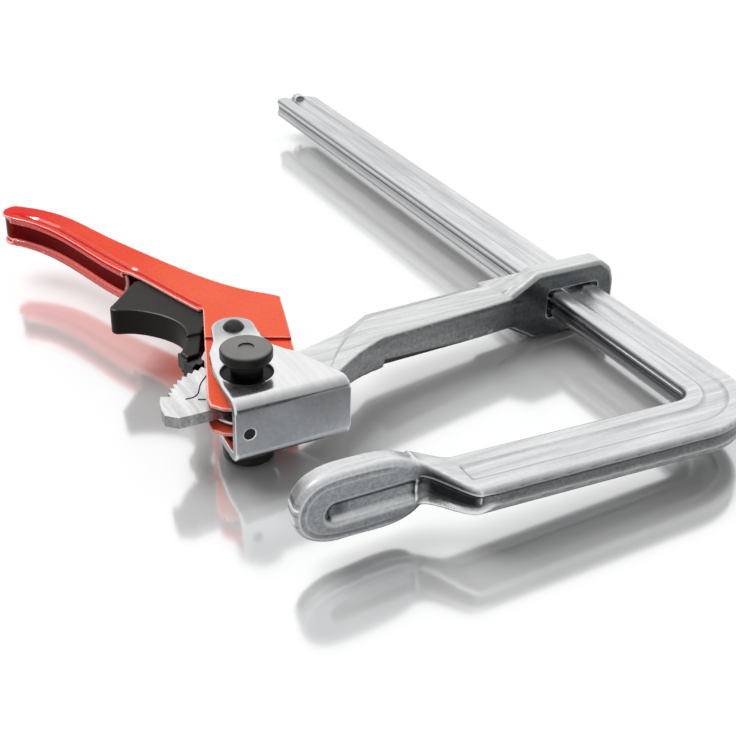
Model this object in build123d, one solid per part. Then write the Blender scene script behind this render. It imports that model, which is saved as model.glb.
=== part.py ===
from build123d import *
import os
from math import cos, pi, radians, sin, sqrt

# Lever clamp, 250 mm opening and 120 mm throat. Millimetres.
# Origin: middle of the fixed pad's clamping face, in the clamp's own plane.
# +X runs from the jaws to the rail, +Y is the way the clamp opens, +Z is square to the clamp's plane.
# The pieces are drawn with the lever part closed and the jaws about 40 mm apart.

# Rail, fixed arm and fixed pad, one forged bar
THROAT = 120.0
BAR_WIDTH = 20.0
BAR_THICKNESS = 9.5
BAR_CORNER_RADIUS = 1.6
RAIL_END_Y = 319.0
RAIL_END_CUT = 6.5
BEND_INNER_RADIUS = 7.0
FIXED_ARM_Y = -20.1
FIXED_ARM_TOE_IN = 2.9
WIDE_GROOVE_WIDTH = 9.0
WIDE_GROOVE_DEPTH = 0.9
WIDE_GROOVE_SLOPE = 1.3
SIDE_GROOVE_WIDTH = 4.2
SIDE_GROOVE_DEPTH = 0.6
SIDE_GROOVE_SLOPE = 0.9
STOP_LENGTH = 4.0
STOP_WIDTH = 5.0
STOP_RISE = 1.3
PAD_THICKNESS = 8.3
PAD_DRAFT = 0.93
PAD_FRONT_ROUNDING = 2.4
PAD_FACE_ROUNDING = 0.6
PAD_MIDDLE_Z = -0.5
PAD_SLOT_LENGTH = 36.0
PAD_SLOT_WIDTH = 8.4
PAD_SLOT_DEPTH = 1.5
PAD_SLOT_SLOPE = 1.9
PAD_SLOT_X = 4.6
PAD_SLOT_Z = -2.2
NECK_START_X = 17.0
NECK_END_X = 29.5
NECK_HEIGHT = 17.6
NECK_STATIONS = 6
NECK_ROUNDING = 2.2

# Lever pivot and the eccentric that drives the shoe
PIVOT_X = -11.0
PIVOT_Y = 57.4
ECCENTRIC_X = 1.8
ECCENTRIC_Y = -0.2
PIVOT_RADIUS = 6.0
RUNNING_CLEARANCE = 0.05
SQUARE_SIDE = 7.6
STUB_RADIUS = 2.2
STUB_LENGTH = 4.0
DISC_RADIUS = 8.6
DISC_TOP_Z = 10.2
NECK_RADIUS = 5.3
HEAD_RADIUS = 8.6
HEAD_THICKNESS = 4.2
HEAD_TOP_Z = 20.3
HEAD_ROUNDING = 1.1
HEAD_DIMPLE_RADIUS = 2.6
HEAD_DIMPLE_DEPTH = 0.5

# Sliding arm
RING_FRONT_Y = 72.0
RING_DEPTH = 9.0
RING_HALF_HEIGHT = 13.7
RING_SIDE_CLEARANCE = 1.2
RING_TOP_CLEARANCE = 0.65
RING_EDGE_ROUNDING = 1.2
ARM_SIDE_ANGLE = 3.0
ARM_UNDERCUT = 2.4
ARM_FALL = 0.083
BEND_X = 46.5
BEND_Y = 66.2
BEND_ANGLE = 29.7
SLIDE_ARM_HALF_THICKNESS = 6.35
TONGUE_HALF_THICKNESS = 3.75
HUB_RADIUS = 9.7

# Ratchet plate in the fork of the tongue
RATCHET_THICKNESS = 4.0
RATCHET_CREST_RADIUS = 24.5
RATCHET_TOOTH_DEPTH = 1.5
RATCHET_TOOTH_ANGLE = 6.8
RATCHET_TEETH = 8
RATCHET_STOP_ANGLE = 154.4
RATCHET_TIP_RADIUS = 26.5
RATCHET_FRONT_Y = 54.0
FORK_END_X = 3.0
FORK_CLEARANCE = 0.03
RATCHET_RIVET_RADIUS = 1.4
RATCHET_RIVET_CIRCLE = 8.6
RATCHET_RIVET_ANGLE = 55.0
SHIM_THICKNESS = 0.25
SHIM_OUTER_RADIUS = 9.2

# Lever, one folded sheet
SHEET = 1.1
LEVER_HALF_HEIGHT = 6.3
JOGGLE = 1.1
JOGGLE_ANGLE = 63.6
JOGGLE_DISTANCE = 32.2
JOGGLE_RUN = 1.5
HEEL_RADIUS = 12.0
FOLD_RADIUS = 1.6
HEEL_WINDOW_Y = 100.0
WEB_ANGLE = 42.0
CHANNEL_SHIFT_X = -7.0
CHANNEL_SHIFT_Y = -2.5
BEAD_RADIUS = 1.5
BEAD_START_Y = 152.0

# Release trigger and its pawl
TRIGGER_HALF_HEIGHT = 5.0
TRIGGER_ARM_HALF_HEIGHT = 3.9
TRIGGER_TAIL_HALF_HEIGHT = 3.0
TRIGGER_ARM_TOP_Y = 99.0
TRIGGER_TAIL_Y = 147.0
TRIGGER_WALL = 2.4
TRIGGER_PIVOT_X = 2.0
TRIGGER_PIVOT_Y = 120.0
TRIGGER_PIN_RADIUS = 2.0
TRIGGER_PIN_SEAT = 0.6
TRIGGER_PIN_CLEARANCE = 0.02
PAWL_HALF_THICKNESS = 2.6
PAWL_TEETH = 2
PAWL_FIRST_ANGLE = 108.3
PAWL_CLEARANCE = 0.35
PAWL_OUTER_RADIUS = 30.0
PAWL_TENON_RADIUS = 36.0
PAWL_TENON_ANGLE = 101.5
PAWL_TENON_WIDTH = 3.6

# Trigger return spring, a torsion coil round the trigger pin
SPRING_WIRE = 0.9
SPRING_RADIUS = 3.3
SPRING_PITCH = 1.5
SPRING_TURNS = 3
SPRING_LEG = 7.0
SPRING_POCKET_RADIUS = 4.2
SPRING_POCKET_HALF_HEIGHT = 3.4

# Pressure shoe, a folded U, with its rivets and leaf
SHOE_SHEET = 3.3
SHOE_HALF_HEIGHT = 11.5
SHOE_FOLD_RADIUS = 4.0
SHOE_INNER_FOLD_RADIUS = 1.0
SHOE_FACE_Y = 39.6
SHOE_LEFT_X = -20.8
SHOE_RIGHT_X = 19.6
SHOE_CORNER_RADIUS = 1.5
EAR_RIVET_X = -1.5
EAR_RIVET_Y = 86.5
EAR_RIVET_HEAD_RADIUS = 3.75
EAR_RIVET_HEAD_HEIGHT = 2.5
EAR_RIVET_SHANK_RADIUS = 1.5
EAR_RIVET_TIP_GAP = 0.2
LEAF_THICKNESS = 0.6
LEAF_HALF_HEIGHT = 3.8
LEAF_REACH = 24.0
WEB_RIVET_X = -16.0
WEB_RIVET_Z = -0.9
WEB_RIVET_RADIUS = 1.9
WEB_RIVET_RECESS = 0.3
WEB_RIVET_HEAD_RADIUS = 2.6
WEB_RIVET_HEAD_HEIGHT = 0.8

# Places worked out from the sizes above
RAIL_X = THROAT + BAR_WIDTH / 2
CAM_X = PIVOT_X + ECCENTRIC_X
CAM_Y = PIVOT_Y + ECCENTRIC_Y
HEEL_HALF_HEIGHT = LEVER_HALF_HEIGHT - JOGGLE
SHOE_INNER_Z = SHOE_HALF_HEIGHT - SHOE_SHEET
ARM_END_X = THROAT - 12.0
CLEAR = 60.0


def polygon(points):
    """Flat face with straight sides through the given points."""
    return make_face(Polyline(*points, close=True))


def around(centre_x, centre_y, radius, angle):
    """Point at a radius and an angle in degrees about a centre."""
    return (centre_x + radius * cos(radians(angle)), centre_y + radius * sin(radians(angle)))


def plate(face, low_z, high_z):
    """Face in the clamp's plane made solid between two heights."""
    return extrude(Pos(0, 0, low_z) * face, amount=high_z - low_z)


def both_sides(face, half_height):
    return plate(face, -half_height, half_height)


def disc(centre_x, centre_y, radius, low_z, high_z):
    return plate(Pos(centre_x, centre_y) * Circle(radius), low_z, high_z)


def lower_twin(solid):
    """The same piece on the underside of the clamp."""
    return mirror(solid, about=Plane.XY)


def groove(width, depth, slope):
    """Trapezoid cut into a face at local height zero, narrow at the bottom."""
    half = width / 2
    left = [(-half, 1), (-half, 0), (slope - half, -depth)]
    return polygon(left + [(-x, y) for x, y in reversed(left)])


def bar_section():
    """Round-cornered bar with a shallow groove along each of its four faces."""
    section = RectangleRounded(BAR_WIDTH, BAR_THICKNESS, BAR_CORNER_RADIUS)
    wide = groove(WIDE_GROOVE_WIDTH, WIDE_GROOVE_DEPTH, WIDE_GROOVE_SLOPE)
    side = groove(SIDE_GROOVE_WIDTH, SIDE_GROOVE_DEPTH, SIDE_GROOVE_SLOPE)
    for turn in (0, 180):
        section -= Rot(0, 0, turn) * Pos(0, BAR_THICKNESS / 2) * wide
        section -= Rot(0, 0, turn + 90) * Pos(0, BAR_WIDTH / 2) * side
    return section


def fixed_arm_y(x):
    """Height of the fixed arm's centre line, which toes in towards the moving jaw."""
    return FIXED_ARM_Y + (RAIL_X - x) * sin(radians(FIXED_ARM_TOE_IN)) / cos(radians(FIXED_ARM_TOE_IN))


def bent_bar():
    bend = BEND_INNER_RADIUS + BAR_WIDTH / 2
    end = (NECK_END_X, fixed_arm_y(NECK_END_X))
    path = FilletPolyline((RAIL_X, RAIL_END_Y), (RAIL_X, FIXED_ARM_Y), end, radius=bend)
    start = Plane(origin=path @ 0, x_dir=(1, 0, 0), z_dir=path % 0)
    return sweep(start * bar_section(), path=path)


def pad_outline():
    """Long oval of the pad, fuller at its free end than towards the neck."""
    free_end = [(-8.0, -13.2), (-16.2, -11.4), (-21.4, -7.2), (-23.2, -1.4), (-21.8, 4.8), (-17.4, 9.4),
                (-11.0, 11.3)]
    neck_end = [(0.0, 11.5), (9.2, 10.7), (16.0, 8.4), (21.0, 4.0), (22.3, -2.5), (19.8, -9.0),
                (13.5, -12.6), (4.0, -13.5)]
    return make_face(Spline(*free_end, *neck_end, periodic=True))


def pad_blank():
    """Forged pad: its sides have draft towards the work, and its outer rim is rounded."""
    outer = Plane.XZ.offset(PAD_THICKNESS) * pad_outline()
    work = Plane.XZ * Pos(0, PAD_MIDDLE_Z * (1 - PAD_DRAFT)) * scale(pad_outline(), by=PAD_DRAFT)
    pad = loft([work, outer], ruled=True)
    pad = fillet(pad.edges().group_by(Axis.Y)[0], PAD_FRONT_ROUNDING)
    pad = fillet(pad.edges().group_by(Axis.Y)[-1], PAD_FACE_ROUNDING)
    narrow = 2 * PAD_SLOT_SLOPE
    rim = Plane.XZ.offset(PAD_THICKNESS) * Pos(PAD_SLOT_X, PAD_SLOT_Z)
    floor = Plane.XZ.offset(PAD_THICKNESS - PAD_SLOT_DEPTH) * Pos(PAD_SLOT_X, PAD_SLOT_Z)
    slot = loft([rim * SlotOverall(PAD_SLOT_LENGTH, PAD_SLOT_WIDTH),
                 floor * SlotOverall(PAD_SLOT_LENGTH - narrow, PAD_SLOT_WIDTH - narrow)], ruled=True)
    return pad - slot


def blend(start, end, share):
    return start + (end - start) * share


def neck_section(share):
    """Section of the neck on its way from the upright pad to the flat-lying arm."""
    x = blend(NECK_START_X, NECK_END_X, share)
    turned = share * share * (3 - 2 * share)
    front = blend(-PAD_THICKNESS, fixed_arm_y(x) - BAR_WIDTH / 2, turned)
    back = blend(0.0, fixed_arm_y(x) + BAR_WIDTH / 2, turned)
    height = blend(NECK_HEIGHT, BAR_THICKNESS, share ** 0.7)
    middle = Pos((front + back) / 2, PAD_MIDDLE_Z * (1 - share))
    rounding = blend(NECK_ROUNDING, BAR_CORNER_RADIUS, share)
    return Plane.YZ.offset(x) * middle * RectangleRounded(back - front, height, rounding)


def forged_neck():
    """Neck that flattens and turns the bar's end upright for the pad."""
    return loft([neck_section(station / (NECK_STATIONS - 1)) for station in range(NECK_STATIONS)])


def rail_end_stop():
    """Bump pressed up on both wide faces, which keeps the sliding arm on the rail."""
    height = BAR_THICKNESS + 2 * STOP_RISE
    bump = Box(STOP_WIDTH, STOP_LENGTH, height)
    bump = chamfer(bump.edges().filter_by(Axis.Y), STOP_RISE * 0.8)
    return Pos(RAIL_X + 1.0, RAIL_END_Y - STOP_LENGTH / 2, 0) * bump


def clamp_rail():
    bar = bent_bar() + forged_neck() + pad_blank() + rail_end_stop()
    outer_x = THROAT + BAR_WIDTH
    corner = polygon([(outer_x - RAIL_END_CUT, RAIL_END_Y), (outer_x, RAIL_END_Y - RAIL_END_CUT),
                      (outer_x, RAIL_END_Y)])
    return bar - both_sides(corner, BAR_THICKNESS)


def ring_outline():
    """Front view of the ring that rides on the rail."""
    top = RING_HALF_HEIGHT
    left = THROAT - 18.5
    right = THROAT + 29.0
    upper = [(left, SLIDE_ARM_HALF_THICKNESS), (THROAT - 6.0, top), (THROAT + 22.3, top),
             (right - 1.4, top - 4.2), (right + 0.2, 4.0)]
    outline = polygon(upper + [(x, -z) for x, z in reversed(upper)])
    rounded = [v for v in outline.vertices() if v.X > left + 1]
    return fillet(rounded, 3.5)


def ring_body():
    """Ring, square to the rail in front and sloping back to the arm behind."""
    front = Plane.XZ.offset(-RING_FRONT_Y - RING_DEPTH) * ring_outline()
    ring = extrude(front, amount=RING_DEPTH)
    edges = [e for e in ring.edges().filter_by(GeomType.LINE) if abs((e @ 0).Y - (e @ 1).Y) < 0.01]
    return chamfer([e for e in edges if e.center().X > THROAT - 8], RING_EDGE_ROUNDING)


def ring_shoulder():
    """Sloping shoulder behind the ring, down to the arm's top."""
    left = THROAT - 22.0
    back = RING_FRONT_Y + RING_DEPTH
    low = SLIDE_ARM_HALF_THICKNESS - 0.5
    high = RING_HALF_HEIGHT - 2.5
    upper = [(back - 4.0, high), (back, high), (back + 8.5, low)]
    section = polygon(upper + [(y, -z) for y, z in reversed(upper)])
    block = extrude(Plane.YZ.offset(left) * section, amount=THROAT - 2.0 - left)
    upper = [(left, low), (THROAT - 6.0, high + 1), (THROAT + 5, high + 1)]
    slope = polygon(upper + [(x, -z) for x, z in reversed(upper)])
    limit = extrude(Plane.XZ.offset(-back - 10.0) * slope, amount=30.0)
    return block & limit


def arm_cap():
    """Raised half of the arm: it slopes down along the back edge and falls away round the bend."""
    base = [(ARM_END_X, 72.0), (BEND_X, BEND_Y), (39.5, 63.8), (34.5, 61.8), (28.5, 58.6), (23.0, 55.3),
            (21.5, 58.5), (26.0, 65.0), (37.1, 78.5), (45.4, 85.4), (50.0, 88.3), (ARM_END_X, 91.0)]
    face = [(ARM_END_X, 72.6), (BEND_X, BEND_Y + 0.6), (39.5, 64.6), (34.5, 62.7), (29.0, 59.9),
            (25.6, 58.2), (25.0, 60.5), (31.5, 67.6), (40.6, 76.1), (45.7, 79.9), (52.0, 81.6),
            (ARM_END_X, 85.4)]
    low = Pos(0, 0, TONGUE_HALF_THICKNESS) * polygon(base)
    high = Pos(0, 0, SLIDE_ARM_HALF_THICKNESS) * polygon(face)
    cap = loft([low, high], ruled=True)
    reach = CLEAR * ARM_FALL
    wedge = Plane.XZ * polygon([(-CLEAR, -reach), (0, 0), (0, CLEAR), (-CLEAR, CLEAR)])
    cut = extrude(wedge, amount=CLEAR, both=True)
    cap -= Pos(BEND_X, BEND_Y, SLIDE_ARM_HALF_THICKNESS) * Rot(0, 0, BEND_ANGLE) * cut
    root = both_sides(polygon(base), TONGUE_HALF_THICKNESS)
    return root, cap


def arm_underside():
    """What the lower front edge of the arm gives up to its forging draft."""
    deep = [(ARM_UNDERCUT, -SLIDE_ARM_HALF_THICKNESS), (ARM_UNDERCUT, -CLEAR), (-CLEAR, -CLEAR)]
    section = Plane.YZ * polygon([(-CLEAR, -2.6), (0.0, -2.6)] + deep)
    return Pos(BEND_X, BEND_Y) * Rot(0, 0, ARM_SIDE_ANGLE) * extrude(section, amount=THROAT / 2)


def thick_arm():
    root, cap = arm_cap()
    return root + cap + lower_twin(cap) - arm_underside()


def tongue():
    """Flat tongue that runs between the lever's walls to the pivot."""
    edge = [(47.0, 67.0), (39.5, 64.2), (34.5, 62.2), (29.0, 59.2), (20.0, 53.9), (8.0, 46.9),
            (PIVOT_X, PIVOT_Y - HUB_RADIUS), (PIVOT_X, PIVOT_Y + HUB_RADIUS),
            (16.9, 74.2), (34.8, 79.9), (48.0, 86.0)]
    blade = polygon(edge)
    hub = Pos(PIVOT_X, PIVOT_Y) * Circle(HUB_RADIUS)
    return both_sides(blade + hub, TONGUE_HALF_THICKNESS)


def sliding_arm():
    arm = thick_arm() + tongue() + ring_body() + ring_shoulder()
    window_width = BAR_WIDTH + 2 * RING_SIDE_CLEARANCE
    window_height = BAR_THICKNESS + 2 * RING_TOP_CLEARANCE
    window = Plane.XZ.offset(-RING_FRONT_Y - 2 * RING_DEPTH) * Pos(RAIL_X, 0)
    opening = window * RectangleRounded(window_width, window_height, BAR_CORNER_RADIUS)
    arm -= extrude(opening, amount=3 * RING_DEPTH)
    arm -= disc(PIVOT_X, PIVOT_Y, PIVOT_RADIUS + RUNNING_CLEARANCE, -CLEAR, CLEAR)
    fork = Pos(FORK_END_X - CLEAR / 2, PIVOT_Y) * Rectangle(CLEAR, CLEAR)
    arm -= both_sides(fork, RATCHET_THICKNESS / 2 + FORK_CLEARANCE)
    for x, y in ratchet_rivet_places():
        arm -= disc(x, y, RATCHET_RIVET_RADIUS, -CLEAR, CLEAR)
    return arm


def ratchet_rivet_places():
    return [around(PIVOT_X, PIVOT_Y, RATCHET_RIVET_CIRCLE, side * RATCHET_RIVET_ANGLE) for side in (1, -1)]


def ratchet_tooth_points():
    """Saw teeth from the last one up to the end stop: a steep face, then a ramp."""
    root = RATCHET_CREST_RADIUS - RATCHET_TOOTH_DEPTH
    points = []
    for tooth in range(RATCHET_TEETH, 0, -1):
        start = RATCHET_STOP_ANGLE - tooth * RATCHET_TOOTH_ANGLE
        points.append(around(PIVOT_X, PIVOT_Y, root, start))
        points.append(around(PIVOT_X, PIVOT_Y, RATCHET_CREST_RADIUS, start + 0.12 * RATCHET_TOOTH_ANGLE))
        points.append(around(PIVOT_X, PIVOT_Y, root, start + 0.97 * RATCHET_TOOTH_ANGLE))
    return points


def ratchet_segment():
    """Toothed plate, held in the fork of the tongue by two rivets."""
    tail_x = FORK_END_X - 2 * FORK_CLEARANCE
    tip = [around(PIVOT_X, PIVOT_Y, RATCHET_TIP_RADIUS, angle) for angle in (154.0, 163.0, 172.0, 180.0)]
    front = [(PIVOT_X - RATCHET_TIP_RADIUS + 3.5, RATCHET_FRONT_Y),
             (PIVOT_X - HUB_RADIUS / 2, RATCHET_FRONT_Y)]
    back = [(PIVOT_X, PIVOT_Y - HUB_RADIUS), (tail_x, PIVOT_Y - HUB_RADIUS + 2.0),
            (tail_x, PIVOT_Y + HUB_RADIUS)]
    outline = polygon(ratchet_tooth_points() + tip + front + back)
    blank = both_sides(outline, RATCHET_THICKNESS / 2)
    blank -= disc(PIVOT_X, PIVOT_Y, PIVOT_RADIUS + RUNNING_CLEARANCE, -CLEAR, CLEAR)
    for x, y in ratchet_rivet_places():
        blank -= disc(x, y, RATCHET_RIVET_RADIUS, -CLEAR, CLEAR)
    return blank


def ratchet_rivets():
    """Two flush rivets through the fork and the toothed plate."""
    return [disc(x, y, RATCHET_RIVET_RADIUS, -TONGUE_HALF_THICKNESS, TONGUE_HALF_THICKNESS)
            for x, y in ratchet_rivet_places()]


def shim():
    """Thin washer between the hub and the lever's wall."""
    low = TONGUE_HALF_THICKNESS
    ring = disc(PIVOT_X, PIVOT_Y, SHIM_OUTER_RADIUS, low, low + SHIM_THICKNESS)
    return ring - disc(PIVOT_X, PIVOT_Y, PIVOT_RADIUS + RUNNING_CLEARANCE, -CLEAR, CLEAR)


def pivot_shaft():
    """Round where it runs in the hub, square through the walls and discs, round stubs for the heads."""
    round_half = HEEL_HALF_HEIGHT - SHEET
    shaft = disc(PIVOT_X, PIVOT_Y, PIVOT_RADIUS, -round_half, round_half)
    shaft += both_sides(Pos(PIVOT_X, PIVOT_Y) * Rectangle(SQUARE_SIDE, SQUARE_SIDE), DISC_TOP_Z)
    stub_z = DISC_TOP_Z + STUB_LENGTH
    return shaft + disc(PIVOT_X, PIVOT_Y, STUB_RADIUS, -stub_z, stub_z)


def eccentric_disc():
    """Disc that turns with the lever in the shoe's cheek, off centre to the pivot."""
    body = disc(CAM_X, CAM_Y, DISC_RADIUS, HEEL_HALF_HEIGHT, DISC_TOP_Z)
    return body - both_sides(Pos(PIVOT_X, PIVOT_Y) * Rectangle(SQUARE_SIDE, SQUARE_SIDE), CLEAR)


def pivot_head():
    """Mushroom head on a thick neck, in line with the eccentric disc."""
    neck = disc(CAM_X, CAM_Y, NECK_RADIUS, DISC_TOP_Z, HEAD_TOP_Z - HEAD_THICKNESS)
    cap = disc(CAM_X, CAM_Y, HEAD_RADIUS, HEAD_TOP_Z - HEAD_THICKNESS, HEAD_TOP_Z)
    rims = [e for e in cap.edges() if e.geom_type == GeomType.CIRCLE]
    cap = fillet(rims, HEAD_ROUNDING)
    cap -= disc(CAM_X, CAM_Y, HEAD_DIMPLE_RADIUS, HEAD_TOP_Z - HEAD_DIMPLE_DEPTH, HEAD_TOP_Z + 1)
    return neck + cap - disc(PIVOT_X, PIVOT_Y, STUB_RADIUS, 0, DISC_TOP_Z + STUB_LENGTH)


def lever_outline():
    """Plan of the lever: heel round the pivot, straight heel arm, elbow, long grip with a curled tip."""
    heel_low = around(PIVOT_X, PIVOT_Y, HEEL_RADIUS, 270.0)
    elbow = [(23.3, 99.5), (26.0, 108.6), (25.9, 111.4), (21.8, 117.5)]
    grip = [(16.5, 123.7), (7.1, 139.8), (-3.7, 165.0), (-14.4, 193.6), (-23.6, 217.9), (-29.5, 226.4),
            (-36.1, 233.0)]
    edge = [(-43.9, 223.4), (-37.1, 214.3), (-32.0, 203.2), (-24.3, 175.5), (-18.3, 154.9)]
    corner = (-2.4, 112.9)
    lines = [
        Polyline((-23.2, 56.6), (-23.9, 52.4), (-21.6, 48.9)),
        ThreePointArc((-21.6, 48.9), (-17.6, 46.5), heel_low),
        Polyline(heel_low, (6.0, 51.0), (10.3, 58.0), elbow[0], elbow[1]),
        ThreePointArc(elbow[1], (26.5, 110.0), elbow[2]),
        Line(elbow[2], elbow[3]),
        Spline(elbow[3], *grip),
        ThreePointArc(grip[-1], (-43.6, 230.5), edge[0]),
        Spline(*edge),
        Polyline(edge[-1], (-16.2, BEAD_START_Y), (-14.2, 146.4), (-7.3, 123.0), (-4.2, 113.3), corner),
        Line(corner, (-23.2, 56.6)),
    ]
    return make_face(Wire([e for line in lines for e in line.edges()]))


def beyond_joggle(distance):
    """Half plane on the grip side of a line square to the joggle's direction."""
    centre = Pos(CAM_X, CAM_Y) * Rot(0, 0, JOGGLE_ANGLE) * Pos(distance + 2 * CLEAR, 0)
    return centre * Rectangle(4 * CLEAR, 6 * CLEAR)


def channel_outline():
    """Inside of the folded channel: it leaves the web's sheet and is open on the trigger's side."""
    step = 1.1 * SHEET
    inner = Pos(-step * cos(radians(WEB_ANGLE)), -step * sin(radians(WEB_ANGLE))) * lever_outline()
    shifted = Pos(CHANNEL_SHIFT_X, CHANNEL_SHIFT_Y) * inner
    window = polygon([(2.0, 30.0), (60.0, 30.0), (60.0, HEEL_WINDOW_Y), (12.0, HEEL_WINDOW_Y)])
    heel = polygon([(-60.0, 30.0), (4.0, 30.0), (14.0, HEEL_WINDOW_Y), (-60.0, HEEL_WINDOW_Y)])
    return inner + shifted + window + heel


def lever_shell():
    outline = lever_outline()
    grip = both_sides(outline & beyond_joggle(JOGGLE_DISTANCE), LEVER_HALF_HEIGHT)
    heel = both_sides(outline, HEEL_HALF_HEIGHT)
    shell = grip + heel
    channel = channel_outline()
    shell -= both_sides(channel & beyond_joggle(JOGGLE_DISTANCE + JOGGLE_RUN), LEVER_HALF_HEIGHT - SHEET)
    return shell - both_sides(channel, HEEL_HALF_HEIGHT - SHEET)


def rounded_fold(shell):
    """Rounds the two long folds between the web and the walls of the grip."""
    rims = [e for e in shell.edges() if abs(abs(e.center().Z) - LEVER_HALF_HEIGHT) < 0.01]
    folds = [e for e in rims if e.length > BEAD_START_Y / 2 and e.center().X > -14.0]
    print("lever folds rounded:", len(folds))
    return fillet(folds, FOLD_RADIUS)


def grip_bead():
    """Rolled edge along the open side of the grip."""
    height = LEVER_HALF_HEIGHT - BEAD_RADIUS
    edge = Spline((-17.4, BEAD_START_Y + 3), (-23.3, 175.5), (-31.0, 203.2), (-36.1, 213.8), (-42.6, 222.8))
    edge = Pos(0, 0, height) * edge
    start = Plane(origin=edge @ 0, z_dir=edge % 0)
    return sweep(start * Circle(BEAD_RADIUS), path=edge)


def lever_body():
    bead = grip_bead()
    shell = rounded_fold(lever_shell()) + bead + lower_twin(bead)
    shell -= both_sides(Pos(PIVOT_X, PIVOT_Y) * Rectangle(SQUARE_SIDE, SQUARE_SIDE), CLEAR)
    seat_z = LEVER_HALF_HEIGHT - SHEET + TRIGGER_PIN_SEAT
    return shell - disc(TRIGGER_PIVOT_X, TRIGGER_PIVOT_Y, TRIGGER_PIN_RADIUS, -seat_z, seat_z)


def trigger_outline():
    """Plan of the trigger: tail, finger hook, and the arm that carries the pawl."""
    foot = around(PIVOT_X, PIVOT_Y, PAWL_OUTER_RADIUS, 105.0)
    foot_right = around(PIVOT_X, PIVOT_Y, PAWL_OUTER_RADIUS, 96.0)
    nose = (-30.0, 132.0)
    under = (-28.9, 127.0)
    lines = [
        Line((-11.0, 154.0), (-14.0, 149.5)),
        Line((-14.0, 149.5), nose),
        ThreePointArc(nose, (-31.3, 129.2), under),
        Spline(under, (-23.9, 124.6), (-19.3, 120.3), (-15.7, 115.3), (-13.6, 110.5), (-12.9, 104.5),
               (-14.2, 99.0)),
        Polyline((-14.2, 99.0), (-16.6, 94.2), (-19.5, 90.6), foot, foot_right, (-8.6, 99.0), (1.0, 113.0)),
        Polyline((1.0, 113.0), (7.5, 117.0), (7.5, 124.0), (-3.0, 143.0), (-11.0, 154.0)),
    ]
    return make_face(Wire([e for line in lines for e in line.edges()]))


def across(low_y, high_y):
    """Band of the clamp's plane between two heights along +Y."""
    return Pos(0, (low_y + high_y) / 2) * Rectangle(8 * CLEAR, high_y - low_y)


def release_trigger():
    outline = trigger_outline()
    arm = both_sides(outline & across(0, TRIGGER_ARM_TOP_Y + 2), TRIGGER_ARM_HALF_HEIGHT)
    finger = both_sides(outline & across(TRIGGER_ARM_TOP_Y, TRIGGER_TAIL_Y), TRIGGER_HALF_HEIGHT)
    tail = both_sides(outline & across(TRIGGER_TAIL_Y - 2, 8 * CLEAR), TRIGGER_TAIL_HALF_HEIGHT)
    body = arm + finger + tail
    hollow = (Pos(TRIGGER_WALL, 0) * outline) & across(TRIGGER_ARM_TOP_Y + 8, TRIGGER_TAIL_Y - 4)
    body -= both_sides(hollow, SPRING_POCKET_HALF_HEIGHT)
    pocket = Pos(TRIGGER_PIVOT_X, TRIGGER_PIVOT_Y) * Circle(SPRING_POCKET_RADIUS)
    body -= both_sides(pocket, SPRING_POCKET_HALF_HEIGHT)
    body -= disc(TRIGGER_PIVOT_X, TRIGGER_PIVOT_Y, TRIGGER_PIN_RADIUS + RUNNING_CLEARANCE, -CLEAR, CLEAR)
    return body - pawl_blank()


def pawl_tooth_points():
    """Underside of the pawl: saw teeth of the ratchet's pitch, just clear of its crests."""
    tip = RATCHET_CREST_RADIUS + PAWL_CLEARANCE
    points = []
    for tooth in range(PAWL_TEETH):
        start = PAWL_FIRST_ANGLE - tooth * RATCHET_TOOTH_ANGLE
        points.append(around(PIVOT_X, PIVOT_Y, tip, start))
        valley = start - 0.85 * RATCHET_TOOTH_ANGLE
        points.append(around(PIVOT_X, PIVOT_Y, tip + RATCHET_TOOTH_DEPTH, valley))
    return points


def pawl_blank():
    """Toothed steel tip with a tenon that sits in the trigger's arm."""
    far = PAWL_FIRST_ANGLE - PAWL_TEETH * RATCHET_TOOTH_ANGLE + 2.0
    ends = (far, PAWL_FIRST_ANGLE)
    top = [around(PIVOT_X, PIVOT_Y, PAWL_OUTER_RADIUS, angle) for angle in ends]
    head = polygon(pawl_tooth_points() + top)
    centre = Pos(PIVOT_X, PIVOT_Y) * Rot(0, 0, PAWL_TENON_ANGLE)
    middle = (PAWL_OUTER_RADIUS + PAWL_TENON_RADIUS) / 2 - 0.5
    tenon = Rectangle(PAWL_TENON_RADIUS - PAWL_OUTER_RADIUS + 1.0, PAWL_TENON_WIDTH)
    tenon = centre * Pos(middle, 0) * tenon
    return both_sides(head + tenon, PAWL_HALF_THICKNESS)


def trigger_pin():
    half = LEVER_HALF_HEIGHT - SHEET + TRIGGER_PIN_SEAT - TRIGGER_PIN_CLEARANCE
    radius = TRIGGER_PIN_RADIUS - TRIGGER_PIN_CLEARANCE
    return disc(TRIGGER_PIVOT_X, TRIGGER_PIVOT_Y, radius, -half, half)


def biarc(start, start_way, end, end_way):
    """Two arcs that join two points, each end along its given direction."""
    span = end - start
    ways = start_way + end_way
    a = 2.0 * (1.0 - start_way.dot(end_way))
    b = 2.0 * span.dot(ways)
    reach = (sqrt(b * b + 4.0 * a * span.dot(span)) - b) / (2.0 * a)
    joint = (start + start_way * reach + end - end_way * reach) * 0.5
    joint_way = (end - end_way * reach) - (start + start_way * reach)
    return [TangentArc(start, joint, tangent=start_way), TangentArc(joint, end, tangent=joint_way)]


def coil_point(turn):
    """Point and direction on the spring's coil after a number of turns."""
    angle = 2 * pi * turn
    rise = SPRING_PITCH * (turn - SPRING_TURNS / 2)
    point = Vector(SPRING_RADIUS * cos(angle), SPRING_RADIUS * sin(angle), rise)
    way = Vector(-SPRING_RADIUS * sin(angle), SPRING_RADIUS * cos(angle), SPRING_PITCH / (2 * pi))
    return point, way.normalized()


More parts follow.
